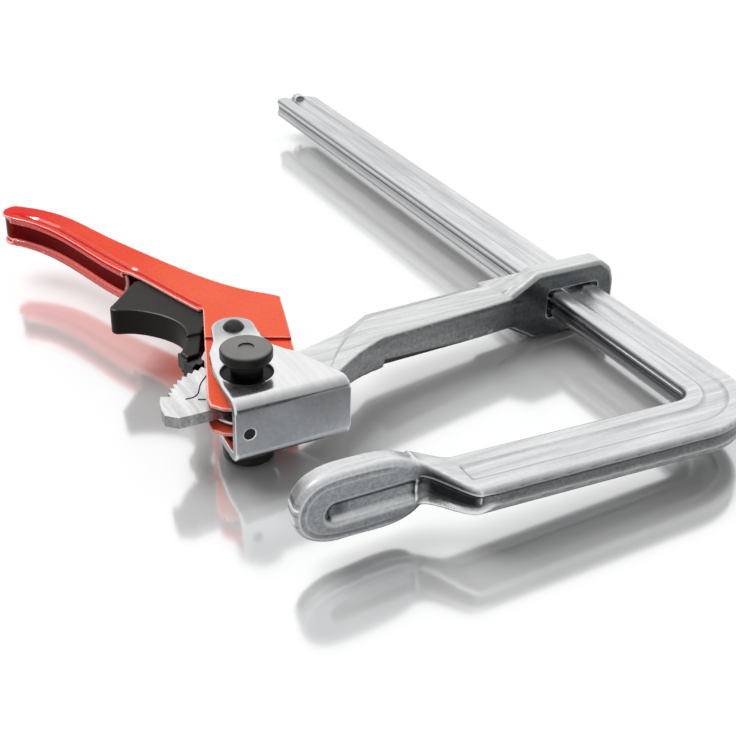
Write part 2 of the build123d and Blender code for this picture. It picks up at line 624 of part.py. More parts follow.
def trigger_spring():
    """Torsion coil with two straight legs, one on the lever's web side and one along the trigger."""
    quarters = 4 * SPRING_TURNS
    first, first_way = coil_point(0)
    last, last_way = coil_point(SPRING_TURNS)
    edges = [Line(first - first_way * SPRING_LEG, first)]
    for quarter in range(quarters):
        start, start_way = coil_point(quarter / 4)
        end, end_way = coil_point((quarter + 1) / 4)
        edges += biarc(start, start_way, end, end_way)
    edges.append(Line(last, last + last_way * SPRING_LEG))
    path = Wire([e.edge() for e in edges])
    section = Plane(origin=path @ 0, z_dir=path % 0) * Circle(SPRING_WIRE / 2)
    print("trigger spring: least gap between turns", round(SPRING_PITCH - SPRING_WIRE, 2))
    return Pos(TRIGGER_PIVOT_X, TRIGGER_PIVOT_Y) * sweep(section, path=path)


def cheek_outline():
    """Plan of one cheek of the shoe, with the ear that carries the rivet."""
    left = [(SHOE_LEFT_X, SHOE_FACE_Y), (SHOE_LEFT_X + 0.7, 52.0), (-17.9, 65.3), (-15.6, 73.7),
            (-11.3, 80.8)]
    ear_left = around(EAR_RIVET_X, EAR_RIVET_Y, 7.6, 160.0)
    ear_top = around(EAR_RIVET_X, EAR_RIVET_Y, 7.6, 85.0)
    ear_right = around(EAR_RIVET_X, EAR_RIVET_Y, 7.6, 10.0)
    lines = [
        Polyline(*left, ear_left),
        ThreePointArc(ear_left, ear_top, ear_right),
        Polyline(ear_right, (4.7, 77.0), (5.6, 70.4), (8.2, 65.7), (11.2, 62.0),
                 (SHOE_RIGHT_X, SHOE_FACE_Y)),
        Line((SHOE_RIGHT_X, SHOE_FACE_Y), left[0]),
    ]
    face = make_face(Wire([e for line in lines for e in line.edges()]))
    soft = [v for v in face.vertices() if v.Y > SHOE_FACE_Y + 1 and v.Y < EAR_RIVET_Y - 8]
    return fillet(soft, SHOE_CORNER_RADIUS)


def pressure_shoe():
    """Folded U: a flat web that presses on the work and two cheeks that ride on the eccentric discs."""
    block = both_sides(cheek_outline(), SHOE_HALF_HEIGHT)
    folds = [e for e in block.edges().filter_by(Axis.X) if abs(e.center().Y - SHOE_FACE_Y) < 0.01]
    block = fillet(folds, SHOE_FOLD_RADIUS)
    gap = Box(6 * CLEAR, 2 * CLEAR, 2 * SHOE_INNER_Z)
    gap = fillet(gap.edges().filter_by(Axis.X), SHOE_INNER_FOLD_RADIUS)
    block -= Pos(0, SHOE_FACE_Y + SHOE_SHEET + CLEAR, 0) * gap
    block -= disc(CAM_X, CAM_Y, DISC_RADIUS + RUNNING_CLEARANCE, -CLEAR, CLEAR)
    block -= disc(EAR_RIVET_X, EAR_RIVET_Y, EAR_RIVET_SHANK_RADIUS, -CLEAR, CLEAR)
    hole = Plane.XZ.offset(-SHOE_FACE_Y - 2 * SHOE_SHEET) * Pos(WEB_RIVET_X, WEB_RIVET_Z)
    return block - extrude(hole * Circle(WEB_RIVET_RADIUS), amount=3 * SHOE_SHEET)


def ear_rivet():
    """Dome-headed rivet in the ear; its tail runs just over the lever's lowered heel."""
    low = HEEL_HALF_HEIGHT + EAR_RIVET_TIP_GAP
    shank = disc(EAR_RIVET_X, EAR_RIVET_Y, EAR_RIVET_SHANK_RADIUS, low, SHOE_HALF_HEIGHT)
    height = EAR_RIVET_HEAD_HEIGHT
    ball = (EAR_RIVET_HEAD_RADIUS ** 2 + height ** 2) / (2 * height)
    dome = Pos(EAR_RIVET_X, EAR_RIVET_Y, SHOE_HALF_HEIGHT + height - ball) * Sphere(ball)
    dome &= disc(EAR_RIVET_X, EAR_RIVET_Y, EAR_RIVET_HEAD_RADIUS, SHOE_HALF_HEIGHT, CLEAR)
    return shank + dome


def shoe_leaf():
    """Thin leaf riveted inside the web."""
    back = SHOE_FACE_Y + SHOE_SHEET
    left = WEB_RIVET_X - 3.0
    strip = polygon([(left, back), (left + LEAF_REACH, back), (left + LEAF_REACH, back + LEAF_THICKNESS),
                     (left, back + LEAF_THICKNESS)])
    leaf = both_sides(strip, LEAF_HALF_HEIGHT)
    hole = Plane.XZ.offset(-back - SHOE_SHEET) * Pos(WEB_RIVET_X, WEB_RIVET_Z)
    return leaf - extrude(hole * Circle(WEB_RIVET_RADIUS), amount=2 * SHOE_SHEET)


def web_rivet():
    """Flush rivet that holds the leaf on the web."""
    seat = SHOE_FACE_Y + SHOE_SHEET + LEAF_THICKNESS
    place = Plane.XZ.offset(-seat) * Pos(WEB_RIVET_X, WEB_RIVET_Z)
    shank = extrude(place * Circle(WEB_RIVET_RADIUS), amount=SHOE_SHEET + LEAF_THICKNESS - WEB_RIVET_RECESS)
    head = extrude(place * Circle(WEB_RIVET_HEAD_RADIUS), amount=-WEB_RIVET_HEAD_HEIGHT)
    return shank + head


def write(name, *solids):
    """One STEP file per named piece, with its solids in one group."""
    pieces = [solid for shape in solids for solid in shape.solids()]
    body = pieces[0] if len(pieces) == 1 else Compound(children=pieces)
    export_step(body, os.path.join("parts", name + ".step"))
    print(name, len(pieces), "solid(s)", round(sum(piece.volume for piece in pieces), 1), "mm3")


os.makedirs("parts", exist_ok=True)
write("clamp_rail", clamp_rail())
write("sliding_arm", sliding_arm())
write("ratchet_segment", ratchet_segment())
write("ratchet_rivets", *ratchet_rivets())
write("upper_shim", shim())
write("lower_shim", lower_twin(shim()))
write("pivot_shaft", pivot_shaft())
write("upper_eccentric_disc", eccentric_disc())
write("lower_eccentric_disc", lower_twin(eccentric_disc()))
write("upper_pivot_head", pivot_head())
write("lower_pivot_head", lower_twin(pivot_head()))
write("lever_body", lever_body())
write("release_trigger", release_trigger())
write("ratchet_pawl", pawl_blank())
write("trigger_pin", trigger_pin())
write("trigger_spring", trigger_spring())
write("pressure_shoe", pressure_shoe())
write("upper_ear_rivet", ear_rivet())
write("lower_ear_rivet", lower_twin(ear_rivet()))
write("shoe_leaf", shoe_leaf())
write("web_rivet", web_rivet())
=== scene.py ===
import math

import bpy
import numpy as np
from mathutils import Matrix, Vector


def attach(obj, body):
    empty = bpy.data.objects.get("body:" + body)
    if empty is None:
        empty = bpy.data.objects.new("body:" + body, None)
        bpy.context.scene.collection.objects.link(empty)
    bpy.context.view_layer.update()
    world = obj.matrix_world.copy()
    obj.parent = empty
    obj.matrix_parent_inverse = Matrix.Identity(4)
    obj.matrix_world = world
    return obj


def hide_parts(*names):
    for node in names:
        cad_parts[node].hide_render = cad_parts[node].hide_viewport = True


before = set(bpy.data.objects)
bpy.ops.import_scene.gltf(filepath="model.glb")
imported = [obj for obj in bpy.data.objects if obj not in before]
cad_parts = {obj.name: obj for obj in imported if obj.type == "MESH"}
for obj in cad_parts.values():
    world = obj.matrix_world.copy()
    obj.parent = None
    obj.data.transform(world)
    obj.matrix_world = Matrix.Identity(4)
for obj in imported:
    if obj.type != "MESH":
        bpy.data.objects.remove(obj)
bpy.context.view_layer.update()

# Places and lengths are in millimetres in the frame's axes, and MM brings them to Blender's metres.
# A pattern's scale is per metre, and colours are linear.

MM = 0.001
X, Y, Z = 0, 1, 2


def linked(name, data):
    """A new object in the scene."""
    piece = bpy.data.objects.new(name, data)
    bpy.context.scene.collection.objects.link(piece)
    return piece


# Camera, at the photograph's angle

CAMERA_PLACE = (-150.514, -285.228, 224.954)
CAMERA_AZIMUTH = 28.456
CAMERA_PITCH = 29.857
CAMERA_ROLL = 1.353
SENSOR_WIDTH = 36
LENS = 64.82
FARTHEST_SEEN = 20000


def make_camera():
    """The camera that sees the clamp as the photograph does."""
    azimuth, pitch, roll = (math.radians(a) for a in (CAMERA_AZIMUTH, CAMERA_PITCH, CAMERA_ROLL))
    level = math.cos(pitch)
    forward = Vector((math.sin(azimuth) * level, math.cos(azimuth) * level, -math.sin(pitch)))
    flat_right = Vector((math.cos(azimuth), -math.sin(azimuth), 0))
    flat_up = flat_right.cross(forward)
    right = math.cos(roll) * flat_right + math.sin(roll) * flat_up
    up = math.cos(roll) * flat_up - math.sin(roll) * flat_right
    data = bpy.data.cameras.new("photo_camera")
    data.sensor_width = SENSOR_WIDTH
    data.lens = LENS
    data.clip_end = FARTHEST_SEEN * MM
    camera = linked("photo_camera", data)
    turn = Matrix((right, up, -forward)).transposed().to_4x4()
    camera.matrix_world = Matrix.Translation(Vector(CAMERA_PLACE) * MM) @ turn
    bpy.context.scene.camera = camera


# Node helpers

NOISE_RANGE = (0.3, 0.7)
BEVEL_SAMPLES = 4


class Shader:
    """The node tree of a material or of the world, with short ways to add and join nodes."""

    def __init__(self, owner):
        self.owner = owner
        owner.use_nodes = True
        self.tree = owner.node_tree
        self.tree.nodes.clear()

    def add(self, kind, inputs=None, **settings):
        """A new node, with its inputs given as numbers, colours or other nodes' sockets."""
        node = self.tree.nodes.new("ShaderNode" + kind)
        for key, value in settings.items():
            setattr(node, key, value)
        for key, value in (inputs or {}).items():
            if isinstance(value, bpy.types.NodeSocket):
                self.tree.links.new(value, node.inputs[key])
            else:
                node.inputs[key].default_value = value
        return node

    def math(self, kind, a, b=0.0):
        return self.add("Math", {0: a, 1: b}, operation=kind).outputs[0]

    def vector_math(self, kind, a, b):
        return self.add("VectorMath", {0: a, 1: b}, operation=kind).outputs

    def part(self, vector, axis):
        """One coordinate of a vector, by its number."""
        return self.add("SeparateXYZ", {0: vector}).outputs[axis]

    def size_of(self, vector, axis):
        """One coordinate of a vector without its sign."""
        return self.math("ABSOLUTE", self.part(vector, axis))

    def spread(self, value, low, high, to_low=0.0, to_high=1.0):
        """A value brought from one range to another and held inside it."""
        ends = {"From Min": low, "From Max": high, "To Min": to_low, "To Max": to_high}
        return self.add("MapRange", {"Value": value, **ends}).outputs[0]

    def from_noise(self, value, to_low, to_high):
        """A noise pattern brought from the range that most of it keeps to, to another one."""
        return self.spread(value, *NOISE_RANGE, to_low, to_high)

    def mix(self, factor, a, b, kind="MIX"):
        node = self.add("Mix", {0: factor, 6: a, 7: b}, data_type="RGBA", blend_type=kind)
        return node.outputs[2]

    def grey(self, value):
        """A neutral colour from one value."""
        return self.add("CombineColor", {0: value, 1: value, 2: value}).outputs[0]

    def noise(self, vector, scale, detail=2.0, rough=0.5):
        sizes = {"Vector": vector, "Scale": scale, "Detail": detail, "Roughness": rough}
        return self.add("TexNoise", sizes).outputs[0]

    def soft_edges(self, radius):
        """Normals that round the sharp edges off."""
        return self.add("Bevel", {"Radius": radius * MM}, samples=BEVEL_SAMPLES).outputs[0]

    def bump(self, height, strength, distance, normal=None):
        """Normals roughened by a pattern."""
        inputs = {"Strength": strength, "Distance": distance * MM, "Height": height}
        if normal is not None:
            inputs["Normal"] = normal
        return self.add("Bump", inputs).outputs[0]

    def finish(self, surface, output="OutputMaterial"):
        """Joins the last node to the output."""
        self.tree.links.new(surface, self.add(output).inputs["Surface"])
        return self.owner


def new_shader(name):
    return Shader(bpy.data.materials.new(name))


def rgb(red, green, blue):
    return (red, green, blue, 1.0)


# Metal finishes

# Painted shade under things and in hollows
PAINTED_UNDER_SHADE = rgb(0.02, 0.021, 0.023)
# Painted reflection line on the rail's sides
PAINTED_DARK_REFLECTION = rgb(0.04, 0.042, 0.045)
# Painted edge highlight, partly wear, and painted shade in the grooves
PAINTED_EDGE_HIGHLIGHT = rgb(0.82, 0.83, 0.84)
PAINTED_GROOVE_SHADE = rgb(0.05, 0.052, 0.055)

# How a face's rise, the upward part of its normal, brings one painted light tone over another
LEANS_UNDER = (-0.1, -0.55)
RISES_TO_FLAT = (0.1, 0.97)
LOOKS_DOWN = (-0.8, -0.97)
UNDER_SHARE = 0.7
DOWN_SHARE = 0.12
FLAT_CURVE = 2.6
NEVER_ZERO = 0.0001

# Where a face counts as upright, and as one that looks along X
UPRIGHT = (0.8, 0.5)
SIDEWAYS = (0.45, 0.75)
LINE_CORE = 0.4

# Pointiness is 0.5 on a flat, more on an outer edge and less in a groove
OUTER_EDGE = (0.503, 0.54)
SHARP_POINT = (0.60, 0.57)
GROOVE = (0.492, 0.452)

STREAK_SCALE = 420.0
STREAK_STRETCH = 0.06
STREAK_TURN_WIDTH = 12
STREAK_RANGE = (0.34, 0.66)
STREAK_DEPTH = 1.3

# How strong the specks are, by how flat a face lies and how far it looks along X
WALL_TO_FLAT = (0.3, 0.95)
WALL_SPECKS = 1.4
FLAT_SPECKS = 0.25
SIDE_TO_FRONT = (0.8, 0.4)
SIDE_SPECKS = 0.25
SPECK_TONES = (-1, 0.6)

CLOUD_SCALE = 60.0
FINE_SCALE = 900.0
STEEL_BEVEL = 0.4
STEEL_BUMP = 0.2
STEEL_SMOOTHER = 0.06
STEEL_ROUGHER = 0.08


def painted_light_by_facing(s, normal, top, front, side):
    """Painted light by facing: bright on the flats, duller on the walls and painted shade where it
    leans under.
    """
    across, along, rise = (s.part(normal, axis) for axis in (X, Y, Z))
    across = s.math("MULTIPLY", across, across)
    along = s.math("MULTIPLY", along, along)
    level = s.math("ADD", s.math("ADD", across, along), NEVER_ZERO)
    wall = s.mix(s.math("DIVIDE", across, level), front, side)
    under = s.mix(UNDER_SHARE, wall, PAINTED_UNDER_SHADE)
    wall = s.mix(s.spread(rise, *LEANS_UNDER), wall, under)
    flat = s.math("POWER", s.spread(rise, *RISES_TO_FLAT), FLAT_CURVE)
    wall = s.mix(flat, wall, top)
    return s.mix(s.spread(rise, *LOOKS_DOWN, 0.0, DOWN_SHARE), wall, top)


def banded(s, place, colour, axis, start, end, other):
    """A colour that turns into another along one axis."""
    return s.mix(s.spread(s.part(place, axis), start * MM, end * MM), colour, other)


def spotted(s, place, normal, colour, centre, inner, outer, other):
    """A soft round patch of painted shade or painted highlight on the upright faces."""
    middle = tuple(c * MM for c in centre)
    away = s.vector_math("DISTANCE", place, middle)["Value"]
    near = s.spread(away, outer * MM, inner * MM)
    factor = s.math("MULTIPLY", near, s.spread(s.size_of(normal, Z), *UPRIGHT))
    return s.mix(factor, colour, other)


def side_lined(s, place, normal, colour, level, half, other):
    """A long painted reflection line of another tone, at one height, on the faces that look along X.
    """
    away = s.math("ABSOLUTE", s.math("SUBTRACT", s.part(place, Z), level * MM))
    near = s.spread(away, half * MM, half * MM * LINE_CORE)
    factor = s.math("MULTIPLY", near, s.spread(s.size_of(normal, X), *SIDEWAYS))
    return s.mix(factor, colour, other)


def streaks(s, place, turn=None):
    """Drawn streaks along Y, or along X on the near side of the place where they turn."""

    def run(stretch):
        stretched = s.vector_math("MULTIPLY", place, stretch)[0]
        return s.noise(stretched, STREAK_SCALE, detail=4.0, rough=0.6)

    lines = run((1, STREAK_STRETCH, 1))
    if turn is None:
        return lines
    share = s.spread(s.part(place, Y), turn * MM, (turn + STREAK_TURN_WIDTH) * MM)
    crosswise = s.math("MULTIPLY", run((STREAK_STRETCH, 1, 1)), s.math("SUBTRACT", 1.0, share))
    return s.math("ADD", s.math("MULTIPLY", lines, share), crosswise)


def painted_edge_light(s, colour, edge_light_and_wear):
    """Painted highlights, partly wear, on the outer edges but not the sharpest points, and painted
    shade in the grooves, on a finely meshed piece.
    """
    point = s.add("NewGeometry").outputs["Pointiness"]
    edge = s.math("MULTIPLY", s.spread(point, *OUTER_EDGE), s.spread(point, *SHARP_POINT))
    colour = s.mix(s.math("MULTIPLY", edge, edge_light_and_wear), colour, PAINTED_EDGE_HIGHLIGHT)
    return s.mix(s.spread(point, *GROOVE, 0.0, edge_light_and_wear), colour, PAINTED_GROOVE_SHADE)


def steel(name, top, front, side, rough, grain, speck, edge_light_and_wear=0.0, turn=None,
          bands=(), spots=(), side_lines=()):
    """Plated steel with three painted light tones by facing, drawn streaks and a fine grain.

    edge_light_and_wear brightens the edges of a finely meshed piece with painted highlights that
    stand partly for wear, and darkens its grooves with painted shade; turn is where the streaks
    change their run.
    bands, spots and side_lines are painted light: broken reflections, highlights and shade in the
    hollows of a plated forging.
    """
    s = new_shader(name)
    coordinates = s.add("TexCoord").outputs
    place, normal = coordinates["Object"], coordinates["Normal"]
    tones = {"top": top, "front": front, "side": side}
    for face, *band in bands:
        tones[face] = banded(s, place, tones[face], *band)
    colour = painted_light_by_facing(s, normal, tones["top"], tones["front"], tones["side"])
    for spot in spots:
        colour = spotted(s, place, normal, colour, *spot)
    for line in side_lines:
        colour = side_lined(s, place, normal, colour, *line)

    cloud = s.noise(place, CLOUD_SCALE, detail=3.0)
    fine = s.noise(place, FINE_SCALE, detail=3.0, rough=0.6)
    lines = s.spread(streaks(s, place, turn), *STREAK_RANGE, 1 - speck * STREAK_DEPTH, 1.0)
    by_rise = s.spread(s.size_of(normal, Z), *WALL_TO_FLAT, speck * WALL_SPECKS, speck * FLAT_SPECKS)
    by_side = s.spread(s.size_of(normal, X), *SIDE_TO_FRONT, SIDE_SPECKS, 1.0)
    mottle = s.math("MULTIPLY", by_rise, by_side)
    specks = s.math("ADD", 1.0, s.math("MULTIPLY", mottle, s.from_noise(fine, *SPECK_TONES)))
    colour = s.mix(1.0, colour, s.grey(s.math("MULTIPLY", lines, specks)), "MULTIPLY")
    if edge_light_and_wear:
        colour = painted_edge_light(s, colour, edge_light_and_wear)
    rounded = None if edge_light_and_wear else s.soft_edges(STEEL_BEVEL)
    inputs = {"Base Color": colour, "Metallic": 1.0,
              "Normal": s.bump(fine, grain, STEEL_BUMP, rounded),
              "Roughness": s.from_noise(cloud, rough - STEEL_SMOOTHER, rough + STEEL_ROUGHER)}
    return s.finish(s.add("BsdfPrincipled", inputs).outputs[0])


HEAD_CENTRE = (-9.2, 57.2)
RING_SCALE = 2600.0
RING_TONES = (0.82, 1.0)
RING_BUMP = (0.2, 0.1)
TURNED_CLOUD_SCALE = 160.0
TURNED_CLOUD_TONES = (0.8, 1.0)
TURNED_SMOOTHER = 0.05
TURNED_ROUGHER = 0.06


def turned_steel(name, top, side, rough):
    """Dark steel turned on a lathe, with rings about the pivot heads' axis."""
    s = new_shader(name)
    coordinates = s.add("TexCoord").outputs
    place = coordinates["Object"]
    local = s.vector_math("ADD", place, (-HEAD_CENTRE[0] * MM, -HEAD_CENTRE[1] * MM, 0))[0]
    flat = s.vector_math("MULTIPLY", local, (1, 1, 0))[0]
    radius = s.add("VectorMath", {0: flat}, operation="LENGTH").outputs["Value"]
    by_radius = s.add("CombineXYZ", {0: radius, 1: 0.0, 2: 0.0}).outputs[0]
    rings = s.noise(by_radius, RING_SCALE)
    cloud = s.noise(place, TURNED_CLOUD_SCALE, detail=3.0)
    shade = s.math("MULTIPLY", s.from_noise(rings, *RING_TONES),
                   s.from_noise(cloud, *TURNED_CLOUD_TONES))
    colour = painted_light_by_facing(s, coordinates["Normal"], top, side, side)
    colour = s.mix(1.0, colour, s.grey(shade), "MULTIPLY")
    inputs = {"Base Color": colour, "Metallic": 1.0,
              "Normal": s.bump(rings, *RING_BUMP, s.soft_edges(STEEL_BEVEL)),
              "Roughness": s.from_noise(cloud, rough - TURNED_SMOOTHER, rough + TURNED_ROUGHER)}
    return s.finish(s.add("BsdfPrincipled", inputs).outputs[0])


def forged_bar_finish():
    """Zinc on the bar: a speckled pad, a darker arm and rail sides with long painted reflection
    lines.
    """
    return steel("forged_zinc_finish", top=rgb(0.84, 0.85, 0.86), front=rgb(0.29, 0.31, 0.32),
                 side=rgb(0.46, 0.47, 0.48), rough=0.27, grain=0.22, speck=0.2, edge_light_and_wear=0.9, turn=-6,
                 # bands of painted light and shade along the rail's side, the arm's front and the top
                 bands=[("side", Y, 95, 55, rgb(0.13, 0.135, 0.14)),
                        ("front", X, 22, 38, rgb(0.15, 0.16, 0.165)),
                        ("top", Y, 120, 240, rgb(0.72, 0.73, 0.74))],
                 # painted reflection lines, dark and light, along the rail's sides
                 side_lines=[(3.5, 0.6, PAINTED_DARK_REFLECTION), (1.9, 0.6, rgb(0.80, 0.81, 0.82)),
                             (0.2, 0.5, PAINTED_DARK_REFLECTION), (-3.7, 0.7, PAINTED_DARK_REFLECTION)],
                 # painted shade in the neck's hollow and the slot's end, a painted reflection on the
                 # pad's rim and a painted highlight at its end
                 spots=[((21, -13, 0), 4, 9, PAINTED_UNDER_SHADE),
                        ((26, -19, -1), 4, 8, PAINTED_UNDER_SHADE),
                        ((-8, -8, -2.2), 1, 4.5, rgb(0.03, 0.032, 0.035)),
                        ((-18, -1, 9), 1, 5.5, rgb(0.06, 0.062, 0.065)),
                        ((-23.5, -3, -2), 2, 5, rgb(0.93, 0.94, 0.95))])


def sliding_arm_finish():
    """Zinc on the sliding arm, darker on the ring's front."""
    return steel("arm_zinc_finish", top=rgb(0.82, 0.83, 0.83), front=rgb(0.22, 0.23, 0.235),
                 side=rgb(0.36, 0.37, 0.37), rough=0.27, grain=0.25, speck=0.2, edge_light_and_wear=0.5, turn=200,
                 # a band of painted shade on the ring's front
                 bands=[("front", X, 92, 104, rgb(0.11, 0.12, 0.125))])


def sheet_finish():
    """Smooth zinc on the shoe: its web grows lighter downwards, its cheeks duller at the back."""
    return steel("sheet_zinc_finish", top=rgb(0.90, 0.91, 0.90), front=rgb(0.27, 0.28, 0.29),
                 side=rgb(0.20, 0.21, 0.21), rough=0.2, grain=0.08, speck=0.07, edge_light_and_wear=0.8,
                 # bands of painted light: the web lighter downwards, the cheeks darker at the back
                 bands=[("front", Z, 7, -9, rgb(0.56, 0.58, 0.60)),
                        ("top", Y, 77, 84, rgb(0.52, 0.53, 0.54))])


def ratchet_finish():
    """Bright ground steel on the toothed plate."""
    return steel("ratchet_finish", top=rgb(0.93, 0.94, 0.93), front=rgb(0.46, 0.46, 0.46),
                 side=rgb(0.16, 0.16, 0.16), rough=0.3, grain=0.3, speck=0.25)


def leaf_finish():
    """Mid grey rolled steel on the leaf inside the shoe."""
    return steel("shim_finish", top=rgb(0.5, 0.5, 0.5), front=rgb(0.27, 0.27, 0.27),
                 side=rgb(0.2, 0.2, 0.2), rough=0.28, grain=0.1, speck=0.15)


def blackened_finish():
    """Nearly black oiled steel on the small parts."""
    return steel("rivet_finish", top=rgb(0.06, 0.06, 0.06), front=rgb(0.04, 0.04, 0.04),
                 side=rgb(0.035, 0.035, 0.035), rough=0.25, grain=0.2, speck=0.2)


def spring_finish():
    """Drawn wire."""
    return steel("spring_finish", top=rgb(0.4, 0.4, 0.4), front=rgb(0.2, 0.2, 0.2),
                 side=rgb(0.2, 0.2, 0.2), rough=0.28, grain=0.1, speck=0.1)


# Paint and plastic

PAINT_TO_GRIP = (138, 168)
GRIP_TO_TIP = (200, 228)
GRIP_TINT = rgb(0.93, 0.46, 0.3)
TIP_TINT = rgb(0.9, 0.04, 0.06)
# Painted highlight on the paint's outer edges
PAINT_HIGHLIGHT_TINT = rgb(1.0, 0.58, 0.54)
PAINT_FLAT = (0.72, 0.999)
PAINT_EDGE = (0.508, 0.53)
PAINT_POINT = (0.64, 0.6)
PAINT_GROOVE = (0.4985, 0.488)
EDGE_SHARE = 0.8
GROOVE_SHARE = 0.9
PEEL_SCALE = 700.0
PEEL_BUMP = (0.05, 0.2)
PAINT_CLOUD_SCALE = 45.0
PAINT_CLOUD_RANGE = (0.35, 0.65)
PAINT_BEVEL = 0.5
PAINT_SPECULAR = 0.04
PAINT_COAT = 0.1
PAINT_COAT_ROUGHNESS = 0.05
PAINT_ROUGHNESS = (0.24, 0.32)


def red_paint(name, flat, shade, wall, shine=1.0):
    """Thick glossy enamel with a faint orange peel, redder towards the tip.

    wall is its painted shade, a deep tone on the walls and in the grooves, and shine scales its
    gloss; the pink on its outer edges is a painted highlight.
    """
    s = new_shader(name)
    coordinates = s.add("TexCoord").outputs
    place = coordinates["Object"]
    peel = s.noise(place, PEEL_SCALE)
    cloud = s.noise(place, PAINT_CLOUD_SCALE)
    colour = s.mix(s.spread(cloud, *PAINT_CLOUD_RANGE), flat, shade)
    grip = s.mix(1.0, colour, GRIP_TINT, "MULTIPLY")
    tip = s.mix(1.0, colour, TIP_TINT, "MULTIPLY")
    colour = banded(s, place, colour, Y, *PAINT_TO_GRIP, grip)
    colour = banded(s, place, colour, Y, *GRIP_TO_TIP, tip)
    # Painted shade: the wall tone on faces that are not flat
    colour = s.mix(s.spread(s.size_of(coordinates["Normal"], Z), *PAINT_FLAT), wall, colour)
    point = s.add("NewGeometry").outputs["Pointiness"]
    edge = s.math("MULTIPLY", s.spread(point, *PAINT_EDGE), s.spread(point, *PAINT_POINT))
    # Painted shade in the grooves and a painted highlight on the outer edges
    colour = s.mix(s.spread(point, *PAINT_GROOVE, 0.0, GROOVE_SHARE), colour, wall)
    colour = s.mix(s.math("MULTIPLY", edge, EDGE_SHARE), colour, PAINT_HIGHLIGHT_TINT)
    skin = s.bump(peel, *PEEL_BUMP, s.soft_edges(PAINT_BEVEL))
    inputs = {"Base Color": colour, "Normal": skin,
              "Specular IOR Level": PAINT_SPECULAR * shine, "Coat Weight": PAINT_COAT * shine,
              "Coat Roughness": PAINT_COAT_ROUGHNESS, "Coat Normal": skin,
              "Roughness": s.from_noise(peel, *PAINT_ROUGHNESS)}
    return s.finish(s.add("BsdfPrincipled", inputs).outputs[0])


def lever_paint():
    return red_paint("red_paint_coat", flat=rgb(0.87, 0.128, 0.058), shade=rgb(0.83, 0.11, 0.048),
                     wall=rgb(0.55, 0.004, 0.002))


def hollow_paint():
    """The same paint in the shade of the grip's hollow side."""
    return red_paint("red_paint_hollow", flat=rgb(0.40, 0.005, 0.002), shade=rgb(0.34, 0.004, 0.002),
                     wall=rgb(0.16, 0.003, 0.002), shine=0.35)


PLASTIC_BLACK = rgb(0.010, 0.008, 0.006)
PLASTIC_PATCH = rgb(0.006, 0.005, 0.004)
PLASTIC_CLOUD_SCALE = 90.0
PLASTIC_GRAIN_SCALE = 2600.0
PLASTIC_BUMP = (0.25, 0.1)
PLASTIC_BEVEL = 0.6
PLASTIC_ROUGHNESS = (0.40, 0.5)
PLASTIC_SPECULAR = 0.12


def black_plastic():
    """Moulded nylon with a fine spark texture."""
    s = new_shader("trigger_plastic")
    place = s.add("TexCoord").outputs["Object"]
    grain = s.noise(place, PLASTIC_GRAIN_SCALE)
    cloud = s.noise(place, PLASTIC_CLOUD_SCALE)
    colour = s.mix(s.from_noise(cloud, 0.0, 1.0), PLASTIC_BLACK, PLASTIC_PATCH)
    inputs = {"Base Color": colour,
              "Normal": s.bump(grain, *PLASTIC_BUMP, s.soft_edges(PLASTIC_BEVEL)),
              "Roughness": s.from_noise(grain, *PLASTIC_ROUGHNESS),
              "Specular IOR Level": PLASTIC_SPECULAR}
    return s.finish(s.add("BsdfPrincipled", inputs).outputs[0])


# Mesh helpers

SOFTEN_FACTOR = 0.5


def evaluated(piece):
    """The mesh of an object with its modifiers applied."""
    depsgraph = bpy.context.evaluated_depsgraph_get()
    depsgraph.update()
    return bpy.data.meshes.new_from_object(piece.evaluated_get(depsgraph))


def smooth_shaded(mesh):
    for face in mesh.polygons:
        face.use_smooth = True


def remade(node, name, voxel, rounds, shape=None):
    """A fine, evenly meshed copy of a CAD node with forged or pressed soft edges.

    shape moves the copy's points, which it gets and gives back in millimetres.
    """
    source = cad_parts[node]
    piece = linked(name, source.data.copy())
    piece.matrix_world = source.matrix_world.copy()
    piece.data.materials.clear()
    cells = piece.modifiers.new("cells", "REMESH")
    cells.mode = "VOXEL"
    cells.voxel_size = voxel * MM
    cells.use_smooth_shade = True
    soften = piece.modifiers.new("soften", "SMOOTH")
    soften.factor = SOFTEN_FACTOR
    soften.iterations = rounds
    mesh = evaluated(piece)
    mesh.transform(piece.matrix_world)
    piece.modifiers.clear()
    piece.data = mesh
    piece.matrix_world = Matrix.Identity(4)
    if shape:
        points = np.empty(len(mesh.vertices) * 3)
        mesh.vertices.foreach_get("co", points)
        points = shape(points.reshape(-1, 3) / MM) * MM
        mesh.vertices.foreach_set("co", points.ravel())
        mesh.update()
    return piece


def dressed(piece, material, body, slot, *nodes):
    """Gives a piece its material and body, and hides the CAD nodes that it stands for. slot is not
    used.
    """
    piece.data.materials.clear()
    piece.data.materials.append(material)
    if nodes:
        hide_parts(*nodes)
    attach(piece, body)


def repaint(node, material):
    """Gives a carried-over CAD node a better material."""
    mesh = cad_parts[node].data
    if not mesh.materials:
        mesh.materials.append(material)
    for i in range(len(mesh.materials)):
        mesh.materials[i] = material


def ramp(values, start, end):
    """0 before start, 1 past end and a straight slope between them."""
    return np.clip((values - start) / (end - start), 0, 1)


def eased(share):
    """A 0 to 1 slope with soft ends."""
    return share * share * (3 - 2 * share)


def ridge(away, middle, width):
    """A soft ridge, 1 high, at a distance from a line."""
    return np.exp(-((away - middle) / width) ** 2)


def edge_distance(points, line):
    """How far each point lies from a polyline, by the points' first two coordinates."""
    best = np.full(len(points), np.inf)
    for a, b in zip(line[:-1], line[1:]):
        a, b = np.array(a), np.array(b)
        run = b - a
        share = np.clip(((points[:, :2] - a) @ run) / (run @ run), 0, 1)
        best = np.minimum(best, np.linalg.norm(points[:, :2] - a - share[:, None] * run, axis=1))
    return best


